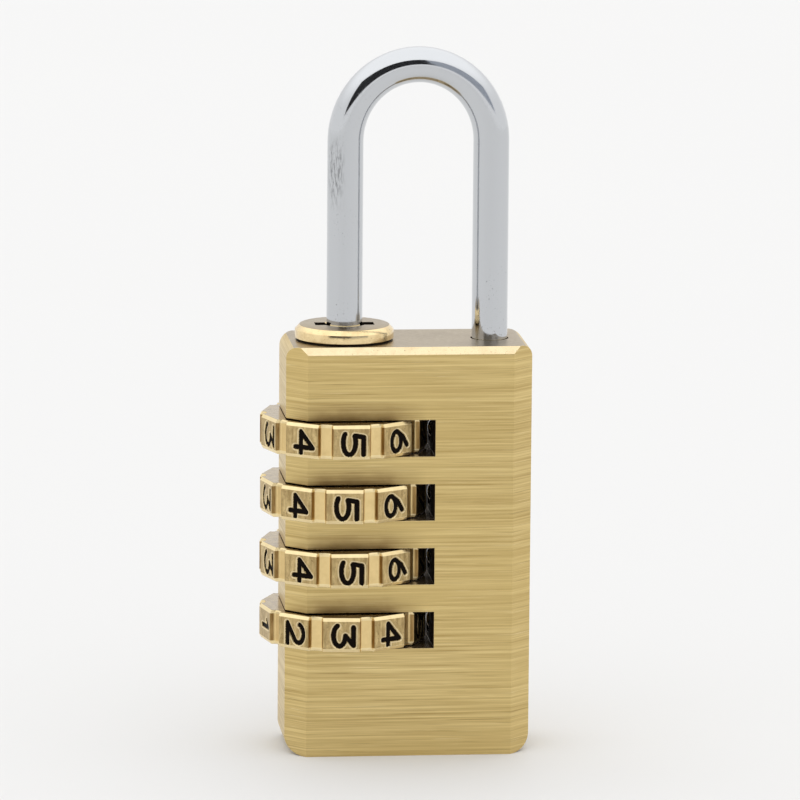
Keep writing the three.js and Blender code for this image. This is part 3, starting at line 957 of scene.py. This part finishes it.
def make_reset_coil(material):
    """The reset spring's coil, wound between its CAD node's heights. On the lock it flattens on its
    washer as the stack of hubs slides down; this builds only the wound coil.
    """
    low, high = mm_box("reset_spring")
    mesh = coil_mesh(
        lambda point: (HEEL_X + point.x, point.y, point.z),
        high.y - RESET_WIRE / 2,
        RESET_WIRE,
        low.z + RESET_WIRE / 2,
        high.z - RESET_WIRE / 2,
        RESET_TURNS,
    )
    piece = show("reset_coil", mesh, [material], "case", "steel", "reset_spring")
    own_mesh(piece)


def make_detent_coil(index, material):
    """A detent spring's coil, wound between its CAD node's ends. On the lock it flattens against the end
    of its hole as the ball is pushed in; this builds only the wound coil.
    """
    number = str(index + 1)
    low, high = mm_box("detent_spring_" + number)
    mesh = coil_mesh(
        lambda point: (point.z, point.y, DIAL_Z[index] - point.x),
        high.y - DETENT_WIRE / 2,
        DETENT_WIRE,
        low.x + DETENT_WIRE / 2,
        high.x - DETENT_WIRE / 2,
        DETENT_TURNS,
    )
    name = "detent_coil_" + number
    piece = show(name, mesh, [material], "case", "steel", "detent_spring_" + number)
    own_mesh(piece)


# --- Stage ---


def make_floor():
    outline = rectangle((-4000, -4000), (4000, 4000))
    points = [(x, y, 0) for x, y in outline]
    mesh = mesh_from("floor", points, [(0, 1, 2, 3)])
    floor = bpy.data.objects.new("floor", mesh)
    mesh.materials.append(pale_floor())
    bpy.context.scene.collection.objects.link(floor)


def make_world():
    """A white tent that grows brighter overhead."""
    world = bpy.data.worlds.new("studio")
    world.use_nodes = True
    nodes = world.node_tree.nodes
    links = world.node_tree.links
    background = nodes["Background"]
    background.inputs["Color"].default_value = rgb(1.0, 1.0, 1.0)
    direction = nodes.new("ShaderNodeTexCoord")
    parts = nodes.new("ShaderNodeSeparateXYZ")
    ramp = nodes.new("ShaderNodeMapRange")
    ramp.interpolation_type = "SMOOTHSTEP"
    limits = {"From Min": 0.25, "From Max": 0.75, "To Min": TENT, "To Max": CEILING}
    for key, number in limits.items():
        ramp.inputs[key].default_value = number
    links.new(direction.outputs["Generated"], parts.inputs["Vector"])
    links.new(parts.outputs["Z"], ramp.inputs["Value"])
    links.new(ramp.outputs["Result"], background.inputs["Strength"])
    bpy.context.scene.world = world


def make_card(name, corners, colour):
    """A card over the camera that only reflections see."""
    mesh = bpy.data.meshes.new(name)
    mesh.from_pydata(corners, [], [(0, 1, 2, 3)])
    mesh.materials.append(Nodes(name).finish(colour, 0.9, metallic=0.0))
    card = bpy.data.objects.new(name, mesh)
    card.visible_camera = False
    card.visible_diffuse = False
    card.visible_shadow = False
    bpy.context.scene.collection.objects.link(card)


def make_cards():
    black = [(-0.80, -0.92, 0.20), (0.20, -1.25, 0.20), (0.20, -1.05, 0.78), (-0.80, -0.68, 0.78)]
    grey = [(0.20, -1.25, 0.20), (1.05, -0.85, 0.20), (1.05, -0.65, 0.62), (0.20, -1.05, 0.74)]
    make_card("black_card", black, rgb(0.01, 0.01, 0.012))
    make_card("grey_card", grey, rgb(0.44, 0.47, 0.53))


def make_camera():
    azimuth = math.radians(CAMERA_AZIMUTH)
    elevation = math.radians(CAMERA_ELEVATION)
    roll = math.radians(CAMERA_ROLL)
    back = Vector((
        math.sin(azimuth) * math.cos(elevation),
        -math.cos(azimuth) * math.cos(elevation),
        math.sin(elevation),
    ))
    level = Vector((math.cos(azimuth), math.sin(azimuth), 0))
    upright = back.cross(level)
    right = level * math.cos(roll) + upright * math.sin(roll)
    up = upright * math.cos(roll) - level * math.sin(roll)
    camera = bpy.data.objects.new("camera", bpy.data.cameras.new("camera"))
    camera.matrix_world = Matrix((right, up, back)).transposed().to_4x4()
    camera.location = LOOK_AT + back * CAMERA_DISTANCE
    camera.data.lens = CAMERA_LENS
    camera.data.clip_start = 0.01
    camera.data.clip_end = 20
    bpy.context.scene.collection.objects.link(camera)
    bpy.context.scene.camera = camera


def paint_kept_nodes(steel, brass):
    """The CAD nodes that still show keep their shape and get a finish."""
    for name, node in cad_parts.items():
        if node.hide_render:
            continue
        material = brass if name.startswith("hub") else steel
        node.data.materials.clear()
        node.data.materials.append(material)


brushed = brushed_brass()
satin = satin_brass()
bright = polished_brass("polished_brass", rgb(0.86, 0.68, 0.38), rgb(0.70, 0.52, 0.27), 0.10)
edge_bright = polished_brass("polished_edge", rgb(0.79, 0.65, 0.41), rgb(0.71, 0.57, 0.345), 0.14)
steel = plain_metal("steel", rgb(0.60, 0.60, 0.61), rgb(0.48, 0.48, 0.49), 0.15)
plain = plain_metal("plain_brass", rgb(0.62, 0.45, 0.20), rgb(0.50, 0.35, 0.15), 0.28)

make_camera()
# painted shade: darkened brass for the floors and ceilings of the slots and bores
shaded_floor_brass = shaded_slot_brass("shaded_slot_brass", rgb(0.34, 0.25, 0.15), rgb(0.16, 0.11, 0.06), 0.16)
# painted shade: near-black brass for the walls of the slots and bores and under the collar's flange
shaded_wall_brass = shaded_slot_brass("shaded_slot_wall", rgb(0.028, 0.017, 0.010), rgb(0.012, 0.008, 0.006), 0.55)
worn = polished_brass("worn_edge", rgb(0.80, 0.64, 0.34), rgb(0.62, 0.46, 0.21), 0.24)
make_case([brushed, satin, edge_bright, shaded_floor_brass, shaded_wall_brass, worn])
make_collar([bright, shaded_wall_brass, satin])
make_plug(plain)
make_shackle(chrome())
dial_paint = dial_brass()
for dial in range(len(DIAL_NODES)):
    make_dial(dial, dial_paint)
    make_ball(dial, steel)
    make_detent_coil(dial, steel)
make_reset_coil(steel)
paint_kept_nodes(steel, plain)
make_floor()
make_world()
make_cards()
bpy.context.scene.view_settings.view_transform = "Standard"
